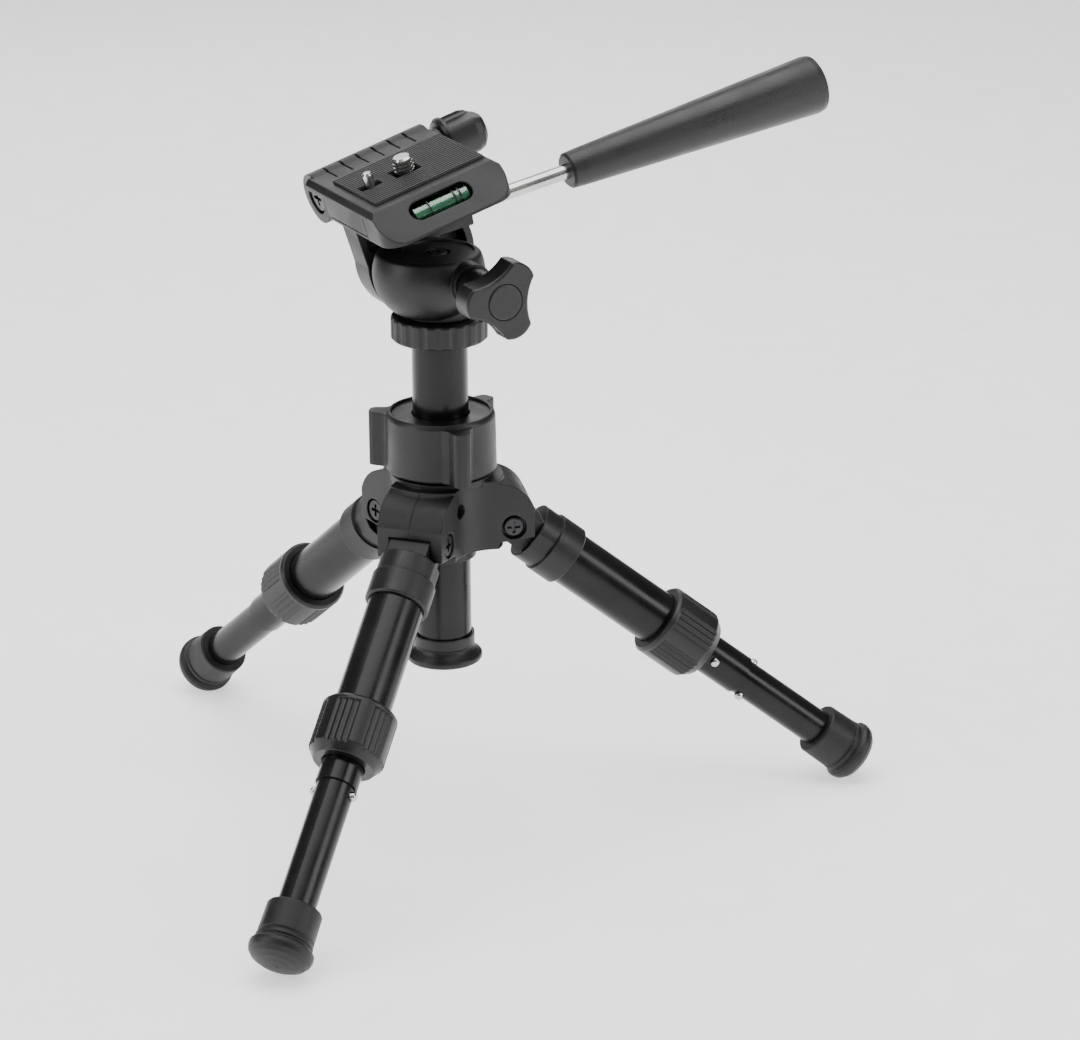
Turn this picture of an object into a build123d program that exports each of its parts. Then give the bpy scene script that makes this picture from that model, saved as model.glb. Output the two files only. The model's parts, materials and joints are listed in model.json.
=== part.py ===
from build123d import *
import os
from math import cos, radians, sin

os.makedirs("parts", exist_ok=True)

# ---------- driving dimensions, millimetres ----------
COLUMN_X = -23.05         # column axis measured from the centre of the overall footprint
COLUMN_Y = 11.18
PIVOT_HEIGHT = 100.63     # leg hinge above the floor
PIVOT_RADIUS = 21.7       # leg hinge from the column axis
LEG_LEAN = 51.5           # leg angle from vertical when spread
LEG_TURN = {"front": -110.3, "right": 9.7, "left": 129.7}
STUB_END = {"front": 90.0, "right": 98.5, "left": 98.5}
CLIP_AT = {"front": (92.6,), "right": (86.4, 101.8), "left": (86.4,)}
CLIP_TURN = {"front": (0.0,), "right": (0.0, 55.0), "left": (90.0,)}

COLUMN_RADIUS = 9.0
TUBE_WALL = 1.0
UPPER_TUBE_RADIUS = 9.0
STUB_RADIUS = 6.75
STUB_BORE = 6.15
LOWER_TUBE_RADIUS = 6.05
FOOT_TOP = 133.0          # distances along a leg start at its hinge
GRIP_TOP = 62.9
GRIP_END = 82.4
GRIP_RADIUS = 12.2
HINGE_PIN_RADIUS = 2.5
FIT = 0.05                # running fit on the radius

HUB_ZERO = 103.5          # height of the hub's datum level
EAR_HALF_WIDTH = 11.0
POCKET_HALF_WIDTH = 7.1
COLLAR_BOTTOM = 119.0
COLLAR_TOP = 138.5
RING_BOTTOM = 162.9
RING_TOP = 170.5
RING_RADIUS = 15.55

HEAD_TURN = 28.0          # heading of the pan handle
HEAD_TILT = 15.8          # platform tilt, handle side up
TILT_HEIGHT = 185.1
TILT_SHIFT = 2.0          # tilt axis ahead of the column axis, towards the handle
BALL_RADIUS = 18.0
BALL_HALF_HEIGHT = 16.2
BALL_SHIFT = -3.4
BALL_TOP = 191.8
ARM_INNER = 16.0          # arm plate, measured from the middle away from the star knob
ARM_OUTER = 26.0
BARREL_ACROSS = 29.0
BARREL_UP = 27.7
BARREL_RADIUS = 8.4
KNUCKLE_RADIUS = 6.2
PLATFORM_TOP = 35.6
PLATFORM_LEFT = -26.5
PLATFORM_RIGHT = 19.5
PLATFORM_NEAR = -28.9
PLATFORM_BOTTOM = 25.5
SCREW_ALONG = -3.4
PIN_ALONG = -16.0
CAMERA_SCREW_RADIUS = 3.175
ROD_RADIUS = 2.5
HANDLE_SEAT = (18.0, 20.0, 7.8)
HANDLE_DROP = 5.1         # the handle's angle below the platform, degrees
BOSS_RADIUS = 6.1
BOSS_BACK = 12.0
BOSS_FRONT = 3.0

# ---------- frames ----------
column_frame = Location((COLUMN_X, COLUMN_Y, 0))


def leg_frame(name):
    turn = radians(LEG_TURN[name])
    lean = radians(LEG_LEAN)
    origin = (
        COLUMN_X + PIVOT_RADIUS * cos(turn),
        COLUMN_Y + PIVOT_RADIUS * sin(turn),
        PIVOT_HEIGHT,
    )
    up = (cos(lean) * cos(turn), cos(lean) * sin(turn), sin(lean))
    along = (sin(lean) * cos(turn), sin(lean) * sin(turn), -cos(lean))
    return Plane(origin=origin, x_dir=up, z_dir=along).location


def hub_side_plane(turn):
    angle = radians(turn)
    return Plane(
        origin=(0, 0, HUB_ZERO),
        x_dir=(cos(angle), sin(angle), 0),
        z_dir=(sin(angle), -cos(angle), 0),
    )


head_angle = radians(HEAD_TURN)
tilt_angle = radians(HEAD_TILT)
tilt_point = (
    COLUMN_X + TILT_SHIFT * cos(head_angle),
    COLUMN_Y + TILT_SHIFT * sin(head_angle),
    TILT_HEIGHT,
)
head_frame = Plane(
    origin=(COLUMN_X, COLUMN_Y, 0),
    x_dir=(cos(head_angle), sin(head_angle), 0),
    z_dir=(0, 0, 1),
).location
tilt_frame = Plane(
    origin=tilt_point,
    x_dir=(cos(head_angle) * cos(tilt_angle), sin(head_angle) * cos(tilt_angle), sin(tilt_angle)),
    z_dir=(-cos(head_angle) * sin(tilt_angle), -sin(head_angle) * sin(tilt_angle), cos(tilt_angle)),
).location


def save(shape, name):
    shape.label = name
    export_step(shape, f"parts/{name}.step")


def ring_solid(outer, inner, low, high):
    with BuildPart() as ring:
        with BuildSketch(Plane.XY.offset(low)):
            Circle(outer)
            Circle(inner, mode=Mode.SUBTRACT)
        extrude(amount=high - low)
    return ring.part


def turned(points):
    with BuildPart() as body:
        with BuildSketch(Plane.XZ):
            with BuildLine():
                Polyline(*points, close=True)
            make_face()
        revolve(axis=Axis.Z)
    return body.part


def cross_head_screw(head_radius, head_height, shank_radius, length):
    # head on top at z 0 to head_height, shank downwards
    with BuildPart() as screw:
        with BuildSketch(Plane.XY):
            Circle(head_radius)
        extrude(amount=head_height)
        fillet(screw.edges().group_by(Axis.Z)[-1], head_height * 0.45)
        with BuildSketch(Plane.XY):
            Circle(shank_radius)
        extrude(amount=-length)
        with BuildSketch(Plane.XY.offset(head_height)):
            Rectangle(head_radius * 1.3, head_radius * 0.3)
            Rectangle(head_radius * 0.3, head_radius * 1.3)
        extrude(amount=-head_height * 0.6, mode=Mode.SUBTRACT)
    return screw.part


# ---------- hub: two shells, one seam through the front leg ----------
ear_outline = [
    (0, 12.6), (9, 13.2), (16, 12.6), (20.1, 11.6), (24, 9.6), (27.0, 6.4), (28.5, 3.4),
    (28.5, -6.6), (21.2, -7.4), (14, -8.3), (7, -10), (0, -11),
]
with BuildPart() as hub:
    with BuildSketch(Plane.XY.offset(HUB_ZERO - 10)) as hub_plan:
        for turn in LEG_TURN.values():
            with BuildLine():
                along, across = radians(turn), radians(turn + 90)
                corners = [
                    (a * cos(along) + b * cos(across), a * sin(along) + b * sin(across))
                    for a, b in ((0, -EAR_HALF_WIDTH), (21, -EAR_HALF_WIDTH), (21, EAR_HALF_WIDTH),
                                 (0, EAR_HALF_WIDTH))
                ]
                Polyline(*corners, close=True)
            make_face()
        inner_corners = [v for v in hub_plan.vertices() if 12 < (v.X ** 2 + v.Y ** 2) ** 0.5 < 13.5]
        fillet(inner_corners, 14.0)
        Circle(20.0, mode=Mode.INTERSECT)
    extrude(amount=23.2)
    with BuildSketch(Plane.XY.offset(HUB_ZERO - 14.2)):
        Circle(10.8)
    extrude(amount=6)
    with BuildSketch(Plane.XY.offset(HUB_ZERO + 12.0)):
        Circle(16.5)
    extrude(amount=2.6)
    with BuildSketch(Plane.XY.offset(HUB_ZERO + 14.5)):
        Circle(12.5)
    extrude(amount=13)
    for turn in LEG_TURN.values():
        with BuildSketch(hub_side_plane(turn)):
            with BuildLine():
                Spline(*ear_outline[:7])
                Polyline(*ear_outline[6:], ear_outline[0])
            make_face()
        extrude(amount=EAR_HALF_WIDTH, both=True)
    for turn in LEG_TURN.values():
        side = hub_side_plane(turn)
        pivot_up = PIVOT_HEIGHT - HUB_ZERO
        with BuildSketch(side):
            with Locations((PIVOT_RADIUS, pivot_up)):
                Circle(6.8)
            with BuildLine():
                Polyline(
                    (14.9, pivot_up), (14.9, -20), (32, -20), (32, 0.4), (27, 0.4), (22, pivot_up),
                    close=True,
                )
            make_face()
        extrude(amount=POCKET_HALF_WIDTH, both=True, mode=Mode.SUBTRACT)
        with BuildSketch(side.offset(EAR_HALF_WIDTH)):
            with Locations((PIVOT_RADIUS, pivot_up)):
                Circle(4.1)
        extrude(amount=-2.0, mode=Mode.SUBTRACT)
        with BuildSketch(side.offset(-EAR_HALF_WIDTH)):
            with Locations((PIVOT_RADIUS, pivot_up)):
                Circle(4.1)
        extrude(amount=2.0, mode=Mode.SUBTRACT)
        with BuildSketch(side):
            with Locations((PIVOT_RADIUS, pivot_up)):
                Circle(HINGE_PIN_RADIUS + 0.02)
        extrude(amount=EAR_HALF_WIDTH, both=True, mode=Mode.SUBTRACT)
    with BuildSketch(Plane.XY.offset(HUB_ZERO - 20)):
        Circle(COLUMN_RADIUS + 0.1)
    extrude(amount=60, mode=Mode.SUBTRACT)
    with BuildSketch(Plane.XY.offset(HUB_ZERO + 20.5)):
        Circle(11.0)
    extrude(amount=10, mode=Mode.SUBTRACT)
    # channels for the two screws that hold the shells together
    seam_plane = hub_side_plane(LEG_TURN["front"])
    for along in (12.2, -12.0):
        with BuildSketch(seam_plane.offset(-30)):
            with Locations((along, 5.5)):
                Circle(1.25)
        extrude(amount=35.5, mode=Mode.SUBTRACT)
        with BuildSketch(seam_plane.offset(-8.0)):
            with Locations((along, 5.5)):
                Circle(2.4)
        extrude(amount=-30, mode=Mode.SUBTRACT)


def hub_shell(side):
    with BuildPart() as shell:
        add(hub.part)
        split(bisect_by=seam_plane.offset(0.03 * side), keep=Keep.TOP if side > 0 else Keep.BOTTOM)
    return shell.part


save(hub_shell(1).moved(column_frame), "hub_shell_right")
save(hub_shell(-1).moved(column_frame), "hub_shell_left")

shell_screws = []
for along in (12.2, -12.0):
    angle = radians(LEG_TURN["front"])
    seat = Plane(
        origin=(
            along * cos(angle) - 8.05 * sin(angle),
            along * sin(angle) + 8.05 * cos(angle),
            HUB_ZERO + 5.5,
        ),
        z_dir=(-sin(angle), cos(angle), 0),
    ).location
    shell_screws.append(cross_head_screw(2.2, 1.4, 1.2, 13).moved(column_frame * seat))
save(Compound(children=shell_screws), "hub_shell_screws")

# ---------- hinge bolts: a barrel from one side, a screw from the other ----------
with BuildPart() as hinge_barrel:
    with BuildSketch(Plane.XY.offset(-EAR_HALF_WIDTH + 1.0)):
        Circle(HINGE_PIN_RADIUS)
    extrude(amount=18.5)
    with BuildSketch(Plane.XY.offset(-EAR_HALF_WIDTH + 0.4)):
        Circle(3.3)
    extrude(amount=1.6)
    with BuildSketch(Plane.XY.offset(-1)):
        Circle(1.45)
    extrude(amount=12, mode=Mode.SUBTRACT)
    with BuildSketch(Plane.XY.offset(-EAR_HALF_WIDTH + 0.4)):
        Rectangle(4.2, 1.0)
        Rectangle(1.0, 4.2)
    extrude(amount=0.9, mode=Mode.SUBTRACT)

hinge_barrels = []
hinge_screws = []
for turn in LEG_TURN.values():
    side = hub_side_plane(turn)
    place = column_frame * side.location * Location((PIVOT_RADIUS, PIVOT_HEIGHT - HUB_ZERO, 0))
    hinge_barrels.append(hinge_barrel.part.moved(place))
    screw_seat = place * Location((0, 0, EAR_HALF_WIDTH - 1.98))
    hinge_screws.append(cross_head_screw(3.3, 1.6, 1.4, 9.0).moved(screw_seat))
save(Compound(children=hinge_barrels), "leg_hinge_barrels")
save(Compound(children=hinge_screws), "leg_hinge_screws")

# ---------- leg pieces, each along its own axis from the hinge ----------
with BuildPart() as casting:
    with BuildSketch(Plane.XZ):
        Circle(6.3)
    extrude(amount=6.8, both=True)
    with BuildSketch(Plane.XY):
        Rectangle(12.0, 13.6)
    extrude(amount=11)
    with BuildSketch(Plane.XY.offset(8.7)):
        Circle(9.7)
    extrude(amount=15.8)
    with BuildSketch(Plane.XY.offset(15.4)):
        Circle(10.35)
    extrude(amount=9.1)
    chamfer(casting.edges().filter_by(GeomType.CIRCLE).group_by(Axis.Z)[-1], 0.5)
    with BuildSketch(Plane.XY.offset(13)):
        Circle(UPPER_TUBE_RADIUS + 0.03)
    extrude(amount=20, mode=Mode.SUBTRACT)
    with BuildSketch(Plane.XZ):
        Circle(HINGE_PIN_RADIUS + FIT)
    extrude(amount=8, both=True, mode=Mode.SUBTRACT)
    # flats on the sleeve's sides
    for sign in (1, -1):
        with BuildSketch(Plane.XY.offset(8.7)):
            with Locations((0, sign * 10.6)):
                Rectangle(30, 2.6)
        extrude(amount=6.5, mode=Mode.SUBTRACT)

upper_tube = ring_solid(UPPER_TUBE_RADIUS, UPPER_TUBE_RADIUS - TUBE_WALL, 13.2, 78.0)

bushing = turned([
    (6.82, 64.0), (7.94, 64.0), (7.94, 78.1), (8.9, 78.1), (8.9, 79.4), (6.82, 79.4),
])

with BuildPart() as grip:
    with BuildSketch(Plane.XZ):
        with BuildLine():
            Polyline(
                (9.15, GRIP_TOP), (11.4, GRIP_TOP), (GRIP_RADIUS, GRIP_TOP + 0.9),
                (GRIP_RADIUS, GRIP_END - 3.2), (9.9, GRIP_END), (7.05, GRIP_END),
                (7.05, 79.8), (9.15, 79.8),
                close=True,
            )
        make_face()
    revolve(axis=Axis.Z)
    for group in range(6):
        for step in (-1.5, -0.5, 0.5, 1.5):
            with BuildSketch(Plane.XY.offset(GRIP_TOP + 2.0)):
                with Locations(Location((0, 0, 0), (0, 0, group * 60 + step * 9.6))):
                    with Locations((GRIP_RADIUS + 0.45, 0)):
                        Circle(1.05)
            extrude(amount=GRIP_END - GRIP_TOP, mode=Mode.SUBTRACT)

foot = turned([
    (LOWER_TUBE_RADIUS + 0.03, FOOT_TOP), (8.5, FOOT_TOP), (8.8, FOOT_TOP + 0.5),
    (9.0, FOOT_TOP + 9.6), (8.6, FOOT_TOP + 9.9), (8.6, FOOT_TOP + 10.4), (9.1, FOOT_TOP + 10.7),
    (9.2, FOOT_TOP + 11.6), (8.8, FOOT_TOP + 11.9), (8.8, FOOT_TOP + 12.4), (9.5, FOOT_TOP + 12.8),
    (10.25, FOOT_TOP + 13.6), (10.3, FOOT_TOP + 14.8), (9.9, FOOT_TOP + 16.2), (8.6, FOOT_TOP + 17.7),
    (6.4, FOOT_TOP + 18.8), (3.4, FOOT_TOP + 19.4), (0, FOOT_TOP + 19.6), (0, FOOT_TOP + 6.2),
    (LOWER_TUBE_RADIUS + 0.03, FOOT_TOP + 6.2),
])


def stub_tube(name):
    end = STUB_END[name]
    with BuildPart() as stub:
        with BuildSketch(Plane.XY.offset(end - 59)):
            Circle(STUB_RADIUS)
            Circle(STUB_BORE, mode=Mode.SUBTRACT)
        extrude(amount=59)
        for at, turn in zip(CLIP_AT[name], CLIP_TURN[name]):
            with BuildSketch(Plane.XZ.rotated((0, 0, turn))):
                with Locations((0, at)):
                    Circle(1.75)
            extrude(amount=10, both=True, mode=Mode.SUBTRACT)
    return stub.part


def lower_tube(name):
    with BuildPart() as tube:
        with BuildSketch(Plane.XY.offset(FOOT_TOP - 67)):
            Circle(LOWER_TUBE_RADIUS)
            Circle(LOWER_TUBE_RADIUS - 0.8, mode=Mode.SUBTRACT)
        extrude(amount=73)
        for at, turn in zip(CLIP_AT[name], CLIP_TURN[name]):
            with BuildSketch(Plane.XZ.rotated((0, 0, turn))):
                with Locations((0, at)):
                    Circle(1.7)
            extrude(amount=10, both=True, mode=Mode.SUBTRACT)
    return tube.part


def snap_clip(at, turn):
    # a bent leaf with a round button at each end
    with BuildPart() as clip:
        with BuildSketch(Plane.XZ):
            with BuildLine():
                Polyline((-4.9, at + 2), (-4.4, at + 2), (-1.2, at - 9), (1.2, at - 9),
                         (4.4, at + 2), (4.9, at + 2), (1.5, at - 9.5), (-1.5, at - 9.5), close=True)
            make_face()
        extrude(amount=1.5, both=True)
        for sign in (1, -1):
            with BuildSketch(Plane.YZ.offset(sign * 4.3)):
                with Locations((0, at)):
                    Circle(1.6)
            extrude(amount=sign * 3.4)
        fillet(
            clip.edges().filter_by(GeomType.CIRCLE).filter_by(lambda e: abs(e.center().X) > 7.6), 1.2
        )
    return clip.part.rotate(Axis.Z, turn)


for name in LEG_TURN:
    place = leg_frame(name)
    save(casting.part.moved(place), f"{name}_leg_casting")
    save(upper_tube.moved(place), f"{name}_leg_upper_tube")
    save(bushing.moved(place), f"{name}_leg_bushing")
    save(grip.part.moved(place), f"{name}_leg_twist_grip")
    save(stub_tube(name).moved(place), f"{name}_leg_stub_tube")
    save(lower_tube(name).moved(place), f"{name}_leg_lower_tube")
    save(foot.moved(place), f"{name}_leg_rubber_foot")
    clips = [snap_clip(at, turn + 90).moved(place) for at, turn in zip(CLIP_AT[name], CLIP_TURN[name])]
    save(Compound(children=clips) if len(clips) > 1 else clips[0], f"{name}_leg_snap_clip")

# ---------- centre column ----------
save(ring_solid(COLUMN_RADIUS, COLUMN_RADIUS - 1.2, 57.0, 166.0).moved(column_frame), "column_tube")
save(turned([
    (COLUMN_RADIUS + 0.03, 62.2), (9.9, 62.2), (10.0, 61.8), (10.0, 58.6), (9.7, 58.2), (9.6, 57.7),
    (10.1, 56.8), (11.2, 55.8), (12.2, 55.2), (12.4, 54.8), (12.4, 53.7), (12.0, 53.1), (0, 53.0),
    (0, 56.9), (COLUMN_RADIUS + 0.03, 56.9),
]).moved(column_frame), "column_end_cap")
with BuildPart() as wedge:
    with BuildSketch(Plane.XY.offset(HUB_ZERO + 20.7)):
        Circle(10.9)
        Circle(COLUMN_RADIUS + FIT, mode=Mode.SUBTRACT)
        with Locations((10, 0)):
            Rectangle(6, 1.2, mode=Mode.SUBTRACT)
    extrude(amount=8.0)
save(wedge.part.moved(column_frame), "column_wedge_ring")

with BuildPart() as collar:
    with BuildSketch(Plane.XZ):
        with BuildLine():
            Polyline(
                (12.85, COLLAR_BOTTOM), (17.2, COLLAR_BOTTOM), (17.9, COLLAR_BOTTOM + 0.7),
                (17.6, COLLAR_TOP - 1.6), (17.3, COLLAR_TOP - 0.7), (16.8, COLLAR_TOP - 0.1),
                (16.3, COLLAR_TOP), (15.9, COLLAR_TOP - 0.2), (15.8, COLLAR_TOP - 0.9),
                (COLUMN_RADIUS + 0.35, COLLAR_TOP - 0.9), (COLUMN_RADIUS + 0.35, 133.0), (12.85, 133.0),
                close=True,
            )
        make_face()
    revolve(axis=Axis.Z)
    for wing in range(3):
        wing_turn = Location((0, 0, COLLAR_BOTTOM + 0.3), (0, 0, wing * 120 - 71))
        with BuildSketch(Plane(wing_turn)):
            with BuildLine():
                Polyline(
                    (16.0, -5.6), (17.4, -5.0), (18.8, -3.4), (22.0, -2.9), (23.2, -2.2), (23.6, -1.0),
                    (23.6, 1.0), (23.2, 2.2), (22.0, 2.9), (18.8, 3.4), (17.4, 5.0), (16.0, 5.6), close=True,
                )
            make_face()
        extrude(amount=COLLAR_TOP - COLLAR_BOTTOM - 1.6)
save(collar.part.moved(column_frame), "column_lock_collar")

# ---------- pan base ----------
with BuildPart() as spindle:
    with BuildSketch(Plane.XY.offset(152)):
        Circle(7.75)
    extrude(amount=14.05)
    with BuildSketch(Plane.XY.offset(166.03)):
        Circle(9.0)
    extrude(amount=3.4)
    with BuildSketch(Plane.XY.offset(169)):
        Circle(5.5)
    extrude(amount=18.5)
    with BuildSketch(Plane.XY.offset(176)):
        Circle(1.6)
    extrude(amount=20, mode=Mode.SUBTRACT)
save(spindle.part.moved(column_frame), "pan_spindle")

with BuildPart() as ring:
    with BuildSketch(Plane.XY.offset(RING_BOTTOM)):
        Circle(RING_RADIUS)
        Circle(9.35, mode=Mode.SUBTRACT)
    extrude(amount=RING_TOP - RING_BOTTOM)
    chamfer(ring.edges().filter_by(GeomType.CIRCLE).group_by(Axis.Z)[0].sort_by(SortBy.LENGTH)[-1], 0.6)
    chamfer(ring.edges().filter_by(GeomType.CIRCLE).group_by(Axis.Z)[-1].sort_by(SortBy.LENGTH)[-1], 0.6)
    with BuildSketch(Plane.XY.offset(RING_BOTTOM - 1)):
        with PolarLocations(RING_RADIUS + 2.6, 20):
            Circle(3.0)
    extrude(amount=12, mode=Mode.SUBTRACT)
save(ring.part.moved(column_frame), "pan_lock_ring")

# ---------- ball housing, built on the head's heading with the column as origin ----------
with BuildPart() as ball:
    with BuildSketch(Plane.XZ):
        with Locations((BALL_SHIFT, TILT_HEIGHT)):
            Ellipse(BALL_RADIUS, BALL_HALF_HEIGHT)
        with Locations((BALL_SHIFT - 50, TILT_HEIGHT)):
            Rectangle(100, 100, mode=Mode.SUBTRACT)
    revolve(axis=Axis((BALL_SHIFT, 0, 0), (0, 0, 1)))
    with BuildSketch(Plane.XY.offset(BALL_TOP)):
        Rectangle(80, 80)
    extrude(amount=40, mode=Mode.SUBTRACT)
    with BuildSketch(Plane.XY.offset(172.0)):
        Rectangle(80, 80)
    extrude(amount=-40, mode=Mode.SUBTRACT)
    fillet(ball.faces().sort_by(Axis.Z)[-1].edges(), 1.6)
    with BuildSketch(Plane.XY.offset(170.9)):
        Circle(11.6)
    extrude(amount=6)
    with BuildSketch(Plane.XZ.offset(-ARM_INNER + 0.4)):
        with Locations((0, TILT_HEIGHT)):
            Rectangle(80, 80)
    extrude(amount=-40, mode=Mode.SUBTRACT)
    with BuildSketch(Plane.XZ.offset(5)):
        with Locations((TILT_SHIFT, TILT_HEIGHT)):
            Circle(6.6)
    extrude(amount=15.4)
    with BuildSketch(Plane.XY.offset(BALL_TOP)):
        Circle(11.4)
    extrude(amount=-0.7, mode=Mode.SUBTRACT)
    with BuildSketch(Plane.XY.offset(189.5)):
        Circle(4.0)
    extrude(amount=4, mode=Mode.SUBTRACT)
    with BuildSketch(Plane.XY.offset(165)):
        Circle(5.5 + FIT)
    extrude(amount=22.9, mode=Mode.SUBTRACT)
    with BuildSketch(Plane.XY.offset(180)):
        Circle(2.1)
    extrude(amount=20, mode=Mode.SUBTRACT)
    with BuildSketch(Plane.XZ.offset(-60)):
        with Locations((TILT_SHIFT, TILT_HEIGHT)):
            Circle(3.03)
    extrude(amount=53, mode=Mode.SUBTRACT)
    with BuildSketch(Plane.XZ.offset(60)):
        with Locations((TILT_SHIFT, TILT_HEIGHT)):
            Circle(2.55)
    extrude(amount=-53, mode=Mode.SUBTRACT)
save(ball.part.moved(head_frame), "ball_housing")

pan_screw_seat = Location((0, 0, 189.52))
pan_washer = ring_solid(3.7, 1.65, 0, 0.4)
save(pan_washer.moved(column_frame * pan_screw_seat), "pan_screw_washer")
save(
    cross_head_screw(3.0, 1.2, 1.55, 12).moved(column_frame * pan_screw_seat * Location((0, 0, 0.42))),
    "pan_screw",
)

# ---------- star knob on the tilt axis ----------
knob_seat = head_frame * Plane(
    origin=(TILT_SHIFT, 0, TILT_HEIGHT), x_dir=(1, 0, 0), z_dir=(0, -1, 0)
).location
with BuildPart() as knob:
    with BuildSketch(Plane.XY.offset(34)):
        with BuildLine():
            for lobe in range(3):
                middle = lobe * 120 + 56
                ends = [(12.4 * cos(radians(a)), 12.4 * sin(radians(a))) for a in (middle - 22, middle + 22)]
                tip = (13.2 * cos(radians(middle)), 13.2 * sin(radians(middle)))
                hollow = (8.1 * cos(radians(middle + 60)), 8.1 * sin(radians(middle + 60)))
                onward = (12.4 * cos(radians(middle + 98)), 12.4 * sin(radians(middle + 98)))
                ThreePointArc(ends[0], tip, ends[1])
                ThreePointArc(ends[1], hollow, onward)
        make_face()
    extrude(amount=8)
    chamfer(knob.faces().sort_by(Axis.Z)[-1].edges(), 0.6)
    with BuildSketch(Plane.XY.offset(20.7)):
        Circle(5.6)
    extrude(amount=14)
    with BuildSketch(Plane.XY.offset(42)):
        Circle(5.9)
    extrude(amount=-1.6, mode=Mode.SUBTRACT)
    with BuildSketch(Plane.XY.offset(20)):
        Circle(2.52)
    extrude(amount=16, mode=Mode.SUBTRACT)
save(knob.part.moved(knob_seat), "tilt_star_knob")
with BuildPart() as cap:
    with BuildSketch(Plane.XY.offset(40.42)):
        Circle(5.75)
    extrude(amount=1.75)
    fillet(cap.edges().filter_by(GeomType.CIRCLE).group_by(Axis.Z)[-1], 0.4)
save(cap.part.moved(knob_seat), "star_knob_cap")
with BuildPart() as stud:
    with BuildSketch(Plane.XY.offset(8.0)):
        Circle(2.5)
    extrude(amount=27.8)
save(stud.part.moved(knob_seat), "star_knob_stud")

# ---------- tilt arm ----------
drop = radians(HANDLE_DROP)
handle_seat = Plane(origin=HANDLE_SEAT, x_dir=(0, 1, 0), z_dir=(cos(drop), 0, -sin(drop)))
with BuildPart() as arm:
    with BuildSketch(Plane.XZ.offset(-ARM_INNER)):
        Circle(19.0)
        with BuildLine():
            Polyline((-18.4, 0), (18.4, 0), (17.6, 19.4), (-19.2, 19.4), close=True)
        make_face()
    extrude(amount=-(ARM_OUTER - ARM_INNER))
    with BuildSketch(Plane.XZ.offset(-ARM_INNER)):
        Circle(16.6)
        with BuildLine():
            Polyline((-16.0, 0), (16.0, 0), (15.2, 17.0), (-16.8, 17.0), close=True)
        make_face()
        Circle(9.0, mode=Mode.SUBTRACT)
        with Locations((0, 13)):
            Rectangle(2.2, 12, mode=Mode.SUBTRACT)
        with Locations((-12, 6)):
            Rectangle(12, 2.0, rotation=-20, mode=Mode.SUBTRACT)
    extrude(amount=-7.4, mode=Mode.SUBTRACT)
    with BuildSketch(Plane.YZ.offset(-13.4)):
        with BuildLine():
            Polyline(
                (18.0, 14), (26.0, 14), (33.0, 23.2), (29.0, 27.7), (24.6, 24.0), (20.0, 19.4), close=True
            )
        make_face()
        with Locations((BARREL_ACROSS, BARREL_UP)):
            Circle(KNUCKLE_RADIUS)
    extrude(amount=22.0)
    # round boss that takes the handle rod
    with BuildSketch(handle_seat.offset(-BOSS_BACK)):
        Circle(BOSS_RADIUS)
    extrude(amount=BOSS_BACK + BOSS_FRONT)
    with BuildSketch(Plane.XZ.offset(-ARM_INNER)):
        Rectangle(90, 90)
    extrude(amount=40, mode=Mode.SUBTRACT)
    with BuildSketch(handle_seat):
        Circle(ROD_RADIUS + 0.03)
    extrude(amount=8, both=True, mode=Mode.SUBTRACT)
    with BuildSketch(Plane.XZ):
        Circle(3.0 + FIT)
    extrude(amount=-40, mode=Mode.SUBTRACT)
    with BuildSketch(Plane.XZ.offset(-ARM_OUTER + 3.0)):
        Circle(6.6)
    extrude(amount=-4, mode=Mode.SUBTRACT)
    with BuildSketch(Plane.YZ.offset(-30)):
        with Locations((BARREL_ACROSS, BARREL_UP)):
            Circle(2.53)
    extrude(amount=60, mode=Mode.SUBTRACT)
save(arm.part.moved(tilt_frame), "tilt_arm")

bolt_seat = tilt_frame * Plane(origin=(0, ARM_OUTER - 2.95, 0), x_dir=(1, 0, 0), z_dir=(0, 1, 0)).location
save(cross_head_screw(6.0, 2.2, 3.0, 15.6).moved(bolt_seat), "tilt_pivot_bolt")

# ---------- flip hinge ----------
flip_seat = tilt_frame * Plane(
    origin=(0, BARREL_ACROSS, BARREL_UP), x_dir=(0, 1, 0), z_dir=(1, 0, 0)
).location
with BuildPart() as flip_bolt:
    with BuildSketch(Plane.XY.offset(-21.3)):
        Circle(2.5)
    extrude(amount=46)
    with BuildSketch(Plane.XY.offset(-23.4)):
        Circle(4.3)
    extrude(amount=2.4)
    with BuildSketch(Plane.XY.offset(-23.4)):
        Rectangle(5.4, 1.2)
        Rectangle(1.2, 5.4)
    extrude(amount=1.3, mode=Mode.SUBTRACT)
save(flip_bolt.part.moved(flip_seat), "flip_hinge_bolt")
with BuildPart() as flip_knob:
    with BuildSketch(Plane.XZ):
        with BuildLine():
            Polyline(
                (2.53, 18.4), (5.6, 18.4), (5.6, 22.0), (7.2, 22.4), (8.0, 23.6), (8.0, 33.0),
                (7.4, 35.2), (5.6, 36.9), (2.8, 37.8), (0, 38.0), (0, 25.4), (2.53, 25.4), close=True,
            )
        make_face()
    revolve(axis=Axis.Z)
    for sign in (1, -1):
        with BuildSketch(Plane.XY.offset(24.6)):
            with Locations((0, sign * 7.6)):
                RectangleRounded(11.0, 6.6, 1.6)
        extrude(amount=20, mode=Mode.SUBTRACT)
save(flip_knob.part.moved(flip_seat), "flip_lock_knob")

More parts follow.
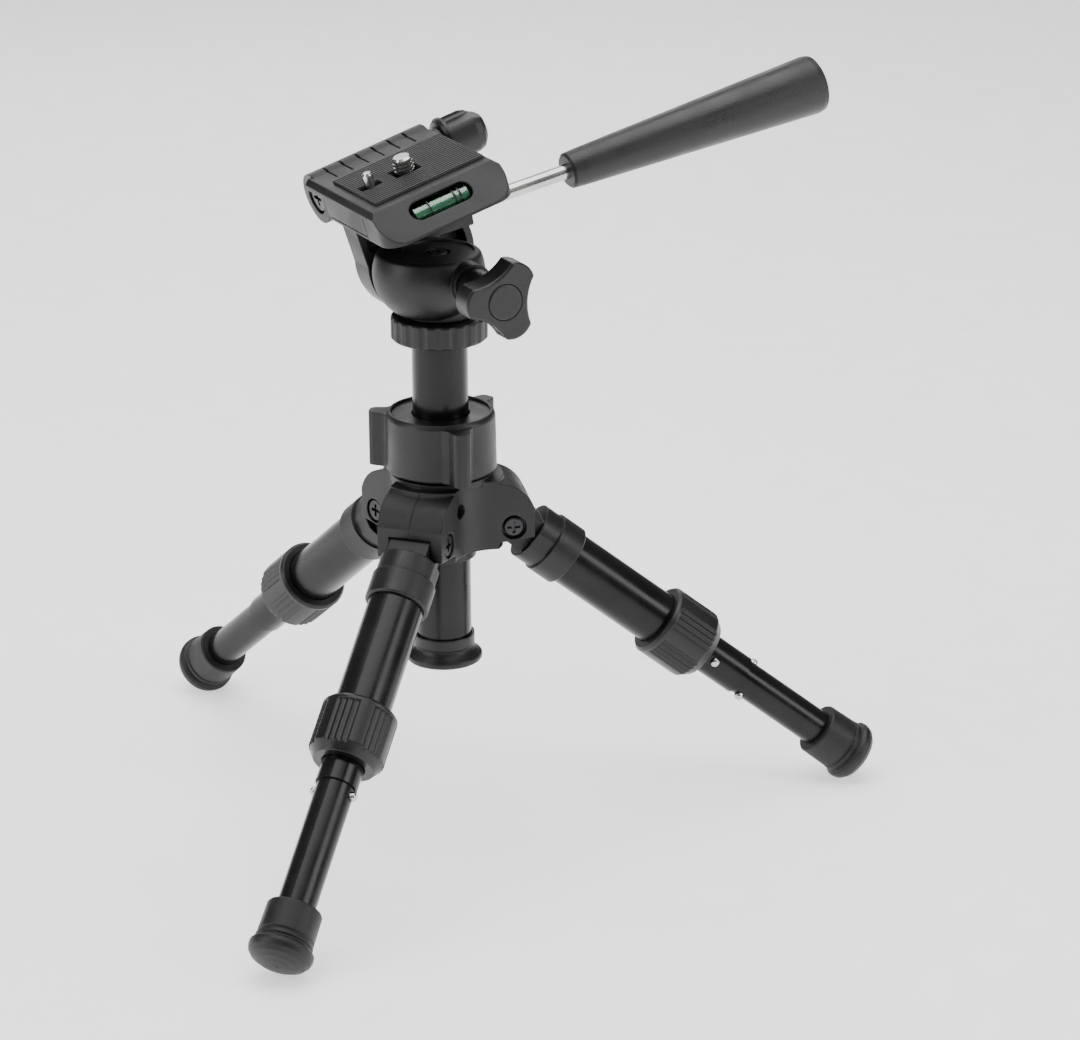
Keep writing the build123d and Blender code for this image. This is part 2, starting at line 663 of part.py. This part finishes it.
# ---------- platform ----------
with BuildPart() as platform:
    with BuildSketch(Plane.XY.offset(PLATFORM_BOTTOM)):
        with Locations(((PLATFORM_LEFT + PLATFORM_RIGHT) / 2, (PLATFORM_NEAR + 28) / 2)):
            Rectangle(PLATFORM_RIGHT - PLATFORM_LEFT, 28 - PLATFORM_NEAR)
    extrude(amount=PLATFORM_TOP - PLATFORM_BOTTOM)
    fillet(platform.edges().filter_by(Axis.Z).group_by(Axis.Y)[0], 7.0)
    chamfer(platform.faces().sort_by(Axis.Z)[-1].edges().filter_by(Axis.Y), 1.6)
    with BuildSketch(Plane.YZ.offset(-50)):
        with BuildLine():
            Polyline((-18.9, PLATFORM_TOP), (-30, 25.2), (-40, 25.2), (-40, 45), (-18.9, 45), close=True)
        make_face()
    extrude(amount=100, mode=Mode.SUBTRACT)
    with BuildSketch(Plane.XY.offset(10)):
        with Locations((0, 21.5)):
            Rectangle(80, 14)
    extrude(amount=22.4, mode=Mode.SUBTRACT)
    with BuildSketch(Plane.YZ.offset(PLATFORM_LEFT + 2.6)):
        with Locations((BARREL_ACROSS, BARREL_UP)):
            Circle(BARREL_RADIUS)
    extrude(amount=41.9)
    with BuildSketch(Plane.YZ.offset(18.02)):
        with Locations((BARREL_ACROSS, BARREL_UP)):
            Circle(9.2)
    extrude(amount=5, mode=Mode.SUBTRACT)
    # hollow underside
    with BuildSketch(Plane.XY.offset(10)):
        with Locations(((PLATFORM_LEFT + PLATFORM_RIGHT) / 2, -0.6)):
            RectangleRounded(41.0, 29.8, 4.0)
    extrude(amount=22.6, mode=Mode.SUBTRACT)
    # clearance for the arm's knuckle, open below and towards the column
    with BuildSketch(Plane.YZ.offset(-13.8)):
        with Locations((BARREL_ACROSS, BARREL_UP)):
            Circle(6.55)
        with BuildLine():
            Polyline(
                (BARREL_ACROSS - 8.2, 10), (BARREL_ACROSS - 8.2, 31.2), (BARREL_ACROSS, 31.2),
                (34.0, 32.4), (38.0, 29.4), (46.0, 23.3), (46.0, 10), close=True,
            )
        make_face()
    extrude(amount=22.8, mode=Mode.SUBTRACT)
    with BuildSketch(Plane.YZ.offset(-30)):
        with Locations((BARREL_ACROSS, BARREL_UP)):
            Circle(2.5 + FIT)
    extrude(amount=60, mode=Mode.SUBTRACT)
    with BuildSketch(Plane.YZ.offset(-30)):
        with Locations((BARREL_ACROSS, BARREL_UP)):
            Circle(5.2)
    extrude(amount=9.2, mode=Mode.SUBTRACT)
    # recess for the pad and the two slots through it
    with BuildSketch(Plane.XY.offset(PLATFORM_TOP)):
        with Locations((-2, 1)):
            Rectangle(39.2, 31.2)
    extrude(amount=-0.8, mode=Mode.SUBTRACT)
    with BuildSketch(Plane.XY.offset(20)):
        with Locations((SCREW_ALONG, 0)):
            Rectangle(9.6, 7.0)
        with Locations((PIN_ALONG, 0)):
            Rectangle(7.6, 4.0)
    extrude(amount=30, mode=Mode.SUBTRACT)
    # long recess for the level in the sloping edge
    slope = Plane(origin=(-3.7, -23.0, 31.8), x_dir=(1, 0, 0), z_dir=(0, -0.684, 0.73))
    with BuildSketch(slope.offset(-6.0)):
        SlotOverall(22.0, 6.8)
    extrude(amount=12, mode=Mode.SUBTRACT)
    with BuildSketch(Plane.YZ.offset(PLATFORM_LEFT)):
        with Locations((-13.0, 29.0)):
            Rectangle(0.4, 8.0)
        with Locations((0, 26.6)):
            Rectangle(26.4, 0.35)
    extrude(amount=0.3, mode=Mode.SUBTRACT)
    # six short grooves across the barrel side of the top
    for index in range(6):
        with BuildSketch(Plane.XY.offset(PLATFORM_TOP - 0.35)):
            with Locations((-18.5 + index * 5.8, 24.5)):
                Rectangle(0.7, 10.0)
        extrude(amount=6, mode=Mode.SUBTRACT)
save(platform.part.moved(tilt_frame), "camera_platform")

with BuildPart() as pad:
    with BuildSketch(Plane.XY.offset(PLATFORM_TOP - 0.78)):
        with Locations((-2, 1)):
            Rectangle(39.0, 31.0)
    extrude(amount=1.2)
    with BuildSketch(Plane.XY.offset(PLATFORM_TOP + 0.42)):
        with Locations((-2, 1)):
            with GridLocations(0, 1.4, 1, 22):
                Rectangle(39.0, 0.75)
    extrude(amount=0.4)
    with BuildSketch(Plane.XY.offset(20)):
        with Locations((SCREW_ALONG, 0)):
            Rectangle(9.2, 6.8)
        with Locations((PIN_ALONG, 0)):
            Rectangle(7.4, 3.8)
    extrude(amount=30, mode=Mode.SUBTRACT)
save(pad.part.moved(tilt_frame), "platform_pad")

# ---------- camera screw, pin and their sliding carrier ----------
with BuildPart() as carrier:
    with BuildSketch(Plane.XY.offset(31.2)):
        with Locations((-9.0, 0)):
            RectangleRounded(24.0, 12.0, 2.0)
    extrude(amount=1.2)
    with BuildSketch(Plane.XY.offset(30)):
        with Locations((SCREW_ALONG, 0)):
            Circle(CAMERA_SCREW_RADIUS - 0.2 + FIT)
    extrude(amount=4, mode=Mode.SUBTRACT)
    with BuildSketch(Plane.XY.offset(24.4)):
        with Locations((PIN_ALONG, 0)):
            Circle(3.6)
    extrude(amount=6.9)
    with BuildSketch(Plane.XY.offset(25.2)):
        with Locations((PIN_ALONG, 0)):
            Circle(3.0)
    extrude(amount=6.1, mode=Mode.SUBTRACT)
    with BuildSketch(Plane.XY.offset(30)):
        with Locations((PIN_ALONG, 0)):
            Circle(1.5 + FIT)
    extrude(amount=4, mode=Mode.SUBTRACT)
save(carrier.part.moved(tilt_frame), "screw_carrier")
screw_frame = tilt_frame * Location((SCREW_ALONG, 0, 0))
with BuildPart() as camera_screw:
    with BuildSketch(Plane.XY.offset(26.8)):
        Circle(7.6)
    extrude(amount=3.8)
    with BuildSketch(Plane.XY.offset(26)):
        with PolarLocations(8.3, 16):
            Circle(1.2)
    extrude(amount=6, mode=Mode.SUBTRACT)
    with BuildSketch(Plane.XY.offset(30)):
        Circle(CAMERA_SCREW_RADIUS - 0.2)
    extrude(amount=7)
    with BuildSketch(Plane.XY.offset(36.6)):
        Circle(CAMERA_SCREW_RADIUS)
    extrude(amount=4.6)
    chamfer(camera_screw.edges().filter_by(GeomType.CIRCLE).group_by(Axis.Z)[-1], 0.6)
    thread_pitch = 1.27
    for turn_index in range(3):
        with BuildSketch(Plane.XZ):
            with BuildLine():
                level = 37.1 + turn_index * thread_pitch
                Polyline((2.65, level), (3.4, level - 0.42), (3.4, level + 0.42), close=True)
            make_face()
        revolve(axis=Axis.Z, mode=Mode.SUBTRACT)
save(camera_screw.part.moved(screw_frame), "camera_screw")
pin_frame = tilt_frame * Location((PIN_ALONG, 0, 0))
save(turned([
    (0, 29.9), (2.8, 29.9), (2.8, 30.9), (1.5, 30.9), (1.5, 36.6), (1.75, 36.6), (1.75, 40.2),
    (1.2, 40.9), (0, 40.9),
]).moved(pin_frame), "video_pin")
with BuildPart() as pin_spring:
    with BuildLine():
        Helix(pitch=1.5, height=4.0, radius=2.2, center=(0, 0, 25.5))
    with BuildSketch(Plane(origin=(2.2, 0, 25.5), z_dir=(0, 1, 0))):
        Circle(0.22)
    sweep()
save(pin_spring.part.moved(pin_frame), "video_pin_spring")

# ---------- bubble level ----------
level_frame = tilt_frame * slope.offset(-2.75).location
with BuildPart() as vial:
    with BuildSketch(Plane.YZ.offset(-9.6)):
        Circle(2.75)
        Circle(2.25, mode=Mode.SUBTRACT)
    extrude(amount=19.2)
save(vial.part.moved(level_frame), "level_vial")
with BuildPart() as fluid:
    with BuildSketch(Plane.YZ.offset(-9.5)):
        Circle(2.22)
    extrude(amount=19.0)
    with Locations((7.0, 0, 1.3)):
        Cylinder(0.85, 4.4, rotation=(0, 90, 0), mode=Mode.SUBTRACT)
save(fluid.part.moved(level_frame), "level_fluid")
rings = []
for at in (-4.4, 4.6, 6.6):
    with BuildPart() as mark:
        with BuildSketch(Plane.YZ.offset(at)):
            Circle(2.95)
            Circle(2.77, mode=Mode.SUBTRACT)
        extrude(amount=0.45)
    rings.append(mark.part.moved(level_frame))
save(Compound(children=rings), "level_mark_rings")

# ---------- pan handle ----------
handle_frame = tilt_frame * handle_seat.location
with BuildPart() as rod:
    with BuildSketch(Plane.XY.offset(-7.8)):
        Circle(ROD_RADIUS)
    extrude(amount=78)
save(rod.part.moved(handle_frame), "handle_rod")
with BuildPart() as grip_body:
    with BuildSketch(Plane.XZ):
        with BuildLine():
            Polyline(
                (0, 40.7), (5.3, 40.7), (6.0, 41.4), (6.3, 46.0), (9.95, 134.5), (9.6, 136.4), (8.6, 137.0),
                (0, 137.0), close=True,
            )
        make_face()
    revolve(axis=Axis.Z)
    with BuildSketch(Plane.XY.offset(40)):
        Circle(ROD_RADIUS + 0.02)
    extrude(amount=30.4, mode=Mode.SUBTRACT)
save(grip_body.part.moved(handle_frame), "handle_grip")
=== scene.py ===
import json
from math import cos, radians, sin

import bpy
from mathutils import Matrix, Vector


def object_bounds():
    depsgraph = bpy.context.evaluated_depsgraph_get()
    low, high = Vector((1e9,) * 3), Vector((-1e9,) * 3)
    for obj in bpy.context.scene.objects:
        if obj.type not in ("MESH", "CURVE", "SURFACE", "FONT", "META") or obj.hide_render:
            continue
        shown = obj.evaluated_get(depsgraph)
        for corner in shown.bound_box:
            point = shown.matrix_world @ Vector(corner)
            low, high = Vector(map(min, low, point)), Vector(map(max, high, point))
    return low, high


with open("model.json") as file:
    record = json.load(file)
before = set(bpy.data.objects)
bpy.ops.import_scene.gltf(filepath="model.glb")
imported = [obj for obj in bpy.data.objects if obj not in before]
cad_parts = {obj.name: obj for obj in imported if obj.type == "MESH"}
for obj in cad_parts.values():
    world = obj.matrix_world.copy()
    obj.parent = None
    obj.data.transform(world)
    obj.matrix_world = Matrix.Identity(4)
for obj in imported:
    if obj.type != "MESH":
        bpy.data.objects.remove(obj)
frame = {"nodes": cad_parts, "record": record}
size_at_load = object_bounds()
nodes = frame["nodes"]

# All places and lengths are in metres, except the lens and sensor.

# ---------- camera ----------
CAMERA_PLACE = Vector((0.00858, -1.23222, 0.5518))
CAMERA_DOWN = radians(19.95)
CAMERA_ROLL = radians(-0.404)
LENS_MM = 136.03
SENSOR_MM = 36.0

camera_data = bpy.data.cameras.new("camera")
camera_data.sensor_fit = "HORIZONTAL"
camera_data.sensor_width = SENSOR_MM
camera_data.lens = LENS_MM
camera_data.clip_start = 0.05
camera_data.clip_end = 20.0
camera = bpy.data.objects.new("camera", camera_data)
bpy.context.collection.objects.link(camera)
forward = Vector((0, cos(CAMERA_DOWN), -sin(CAMERA_DOWN)))
level_right = Vector((1, 0, 0))
level_up = Vector((0, sin(CAMERA_DOWN), cos(CAMERA_DOWN)))
right = level_right * cos(CAMERA_ROLL) + level_up * sin(CAMERA_ROLL)
up = level_up * cos(CAMERA_ROLL) - level_right * sin(CAMERA_ROLL)
camera_axes = Matrix((right, up, -forward)).transposed()
camera.matrix_world = Matrix.Translation(CAMERA_PLACE) @ camera_axes.to_4x4()
bpy.context.scene.camera = camera

# ---------- lights ----------
LIGHT_TARGET = Vector((0.0, 0.0, 0.13))


def area_light(name, place, width, height, watts):
    data = bpy.data.lights.new(name, "AREA")
    data.shape = "RECTANGLE"
    data.size = width
    data.size_y = height
    data.energy = watts
    lamp = bpy.data.objects.new(name, data)
    lamp.location = place
    lamp.rotation_euler = (LIGHT_TARGET - Vector(place)).to_track_quat("-Z", "Y").to_euler()
    bpy.context.collection.objects.link(lamp)


area_light("top_softbox", (0.0, 0.1, 1.1), 1.1, 1.1, 15.0)
area_light("left_softbox", (-0.95, -0.45, 0.55), 0.5, 0.9, 6.0)
area_light("right_softbox", (0.95, -0.35, 0.5), 0.3, 0.9, 5.0)
area_light("front_fill", (0.1, -1.3, 0.9), 0.9, 0.6, 1.0)
area_light("back_rim", (-0.3, 1.1, 0.6), 1.0, 0.5, 3.0)

# The surroundings brighten from level towards straight up.
SKY_LOW = (0.14, 0.142, 0.145, 1)
SKY_HIGH = (0.3, 0.3, 0.3, 1)
SKY_HIGH_FROM = 0.75

world = bpy.data.worlds.new("studio")
world.use_nodes = True
sky = world.node_tree
background = sky.nodes["Background"]
background.inputs["Strength"].default_value = 1.0
direction = sky.nodes.new("ShaderNodeTexCoord")
upward = sky.nodes.new("ShaderNodeSeparateXYZ")
fade = sky.nodes.new("ShaderNodeValToRGB")
fade.color_ramp.elements[0].position = 0.0
fade.color_ramp.elements[0].color = SKY_LOW
fade.color_ramp.elements[1].position = SKY_HIGH_FROM
fade.color_ramp.elements[1].color = SKY_HIGH
sky.links.new(direction.outputs["Generated"], upward.inputs["Vector"])
sky.links.new(upward.outputs["Z"], fade.inputs["Fac"])
sky.links.new(fade.outputs["Color"], background.inputs["Color"])
bpy.context.scene.world = world

# ---------- materials ----------
BROAD_SCALE = 60.0        # patches of uneven shade and gloss, per metre
GLOSS_SPREAD = 0.25       # how far the roughness strays from its middle value
EDGE = 0.0006             # shaded rounding of moulded edges
FOOT_EDGE = 0.0004


def shader_of(material):
    return material.node_tree.nodes["Principled BSDF"]


def surface(name, dark, light, rough, grain, bump, metallic=0.0, coat=0.0, specular=0.5, edge=0.0):
    """Two close shades in broad patches, uneven gloss, a fine bumpy grain and softened edges."""
    made = bpy.data.materials.new(name)
    made.use_nodes = True
    tree = made.node_tree
    shader = shader_of(made)
    shader.inputs["Metallic"].default_value = metallic
    shader.inputs["Coat Weight"].default_value = coat
    shader.inputs["Specular IOR Level"].default_value = specular
    shader.inputs["Coat Roughness"].default_value = 0.2

    place = tree.nodes.new("ShaderNodeTexCoord")
    fine = tree.nodes.new("ShaderNodeTexNoise")
    fine.inputs["Scale"].default_value = 1.0 / grain
    fine.inputs["Detail"].default_value = 3.0
    tree.links.new(place.outputs["Object"], fine.inputs["Vector"])
    broad = tree.nodes.new("ShaderNodeTexNoise")
    broad.inputs["Scale"].default_value = BROAD_SCALE
    broad.inputs["Detail"].default_value = 6.0
    tree.links.new(place.outputs["Object"], broad.inputs["Vector"])

    shades = tree.nodes.new("ShaderNodeValToRGB")
    shades.color_ramp.elements[0].position = 0.3
    shades.color_ramp.elements[0].color = (*dark, 1)
    shades.color_ramp.elements[1].position = 0.75
    shades.color_ramp.elements[1].color = (*light, 1)
    tree.links.new(broad.outputs["Fac"], shades.inputs["Fac"])
    tree.links.new(shades.outputs["Color"], shader.inputs["Base Color"])

    gloss = tree.nodes.new("ShaderNodeMapRange")
    gloss.inputs["From Min"].default_value = 0.3
    gloss.inputs["From Max"].default_value = 0.7
    gloss.inputs["To Min"].default_value = rough * (1 - GLOSS_SPREAD)
    gloss.inputs["To Max"].default_value = rough * (1 + GLOSS_SPREAD)
    tree.links.new(broad.outputs["Fac"], gloss.inputs["Value"])
    tree.links.new(gloss.outputs["Result"], shader.inputs["Roughness"])

    relief = tree.nodes.new("ShaderNodeBump")
    relief.inputs["Strength"].default_value = 1.0
    relief.inputs["Distance"].default_value = bump
    tree.links.new(fine.outputs["Fac"], relief.inputs["Height"])
    tree.links.new(relief.outputs["Normal"], shader.inputs["Normal"])
    if edge:
        rounding = tree.nodes.new("ShaderNodeBevel")
        rounding.samples = 6
        rounding.inputs["Radius"].default_value = edge
        tree.links.new(rounding.outputs["Normal"], relief.inputs["Normal"])
    return made


BLACK = (0.0035, 0.0036, 0.0038)
SOFT_BLACK = (0.0075, 0.0076, 0.008)

shell = surface("moulded_shell", BLACK, SOFT_BLACK, 0.42, 0.0005, 0.00006, specular=0.4, edge=EDGE)
satin = surface("satin_plastic", BLACK, SOFT_BLACK, 0.34, 0.0006, 0.00003, specular=0.42, edge=EDGE)
pebbled = surface("pebbled_plastic", BLACK, SOFT_BLACK, 0.4, 0.0007, 0.00009, specular=0.45, edge=EDGE)
foot_rubber = surface(
    "foot_rubber", BLACK, SOFT_BLACK, 0.5, 0.0005, 0.00004, specular=0.4, edge=FOOT_EDGE
)
pad_rubber = surface(
    "pad_rubber", (0.028, 0.028, 0.028), (0.055, 0.055, 0.055), 0.6, 0.0004, 0.00003, specular=0.4
)
anodised = surface(
    "anodised_tube", (0.012, 0.012, 0.0125), (0.02, 0.02, 0.021), 0.25, 0.0003, 0.000006, metallic=0.7
)
steel = surface(
    "bright_steel", (0.42, 0.42, 0.41), (0.6, 0.59, 0.58), 0.17, 0.0004, 0.000004, metallic=1.0
)
dark_steel = surface(
    "blackened_steel", (0.03, 0.03, 0.032), (0.06, 0.06, 0.063), 0.3, 0.0003, 0.000005, metallic=0.9
)
nylon = surface("nylon", (0.6, 0.59, 0.55), (0.74, 0.73, 0.69), 0.5, 0.0006, 0.00001)
ink = surface("mark_ink", (0.008, 0.008, 0.008), (0.014, 0.014, 0.014), 0.5, 0.0004, 0.000002)
fluid = surface("level_fluid", (0.02, 0.22, 0.10), (0.10, 0.50, 0.26), 0.1, 0.002, 0.000001, coat=0.6)
shader_of(fluid).inputs["Transmission Weight"].default_value = 0.4
vial_glass = surface("vial_glass", (0.93, 0.98, 0.92), (0.98, 1.0, 0.98), 0.04, 0.003, 0.0000005)
shader_of(vial_glass).inputs["Transmission Weight"].default_value = 1.0
shader_of(vial_glass).inputs["IOR"].default_value = 1.45

FINISHES = {
    "shell_plastic": shell,
    "gloss_black": satin,
    "tube_black": anodised,
    "rubber_black": foot_rubber,
    "pad_rubber": pad_rubber,
    "steel": steel,
    "dark_steel": dark_steel,
    "rod_steel": steel,
    "nylon": nylon,
    "vial_glass": vial_glass,
    "vial_fluid": fluid,
    "mark_black": ink,
}
PEBBLED = ("handle_grip", "tilt_star_knob", "star_knob_cap")
for part in frame["record"]["subparts"]:
    mesh_object = nodes[part["node"]]
    finish = pebbled if part["node"] in PEBBLED else FINISHES[part["material_slot"]]
    if not mesh_object.material_slots:
        mesh_object.data.materials.append(finish)
    for material_slot in mesh_object.material_slots:
        material_slot.material = finish

# ---------- floor ----------
FLOOR_SIZE = 6.0
FLOOR_GAP = 0.0002        # below the feet, so that no faces coincide
FLOOR_GLOW = 0.85

floor_material = surface("floor", (0.92, 0.92, 0.925), (0.95, 0.95, 0.955), 0.6, 0.002, 0.00001)
shader_of(floor_material).inputs["Emission Color"].default_value = (1.0, 1.0, 1.0, 1)
shader_of(floor_material).inputs["Emission Strength"].default_value = FLOOR_GLOW
bpy.ops.mesh.primitive_plane_add(size=FLOOR_SIZE, location=(0, 0, size_at_load[0][2] - FLOOR_GAP))
floor = bpy.context.object
floor.name = "floor"
floor.data.materials.append(floor_material)
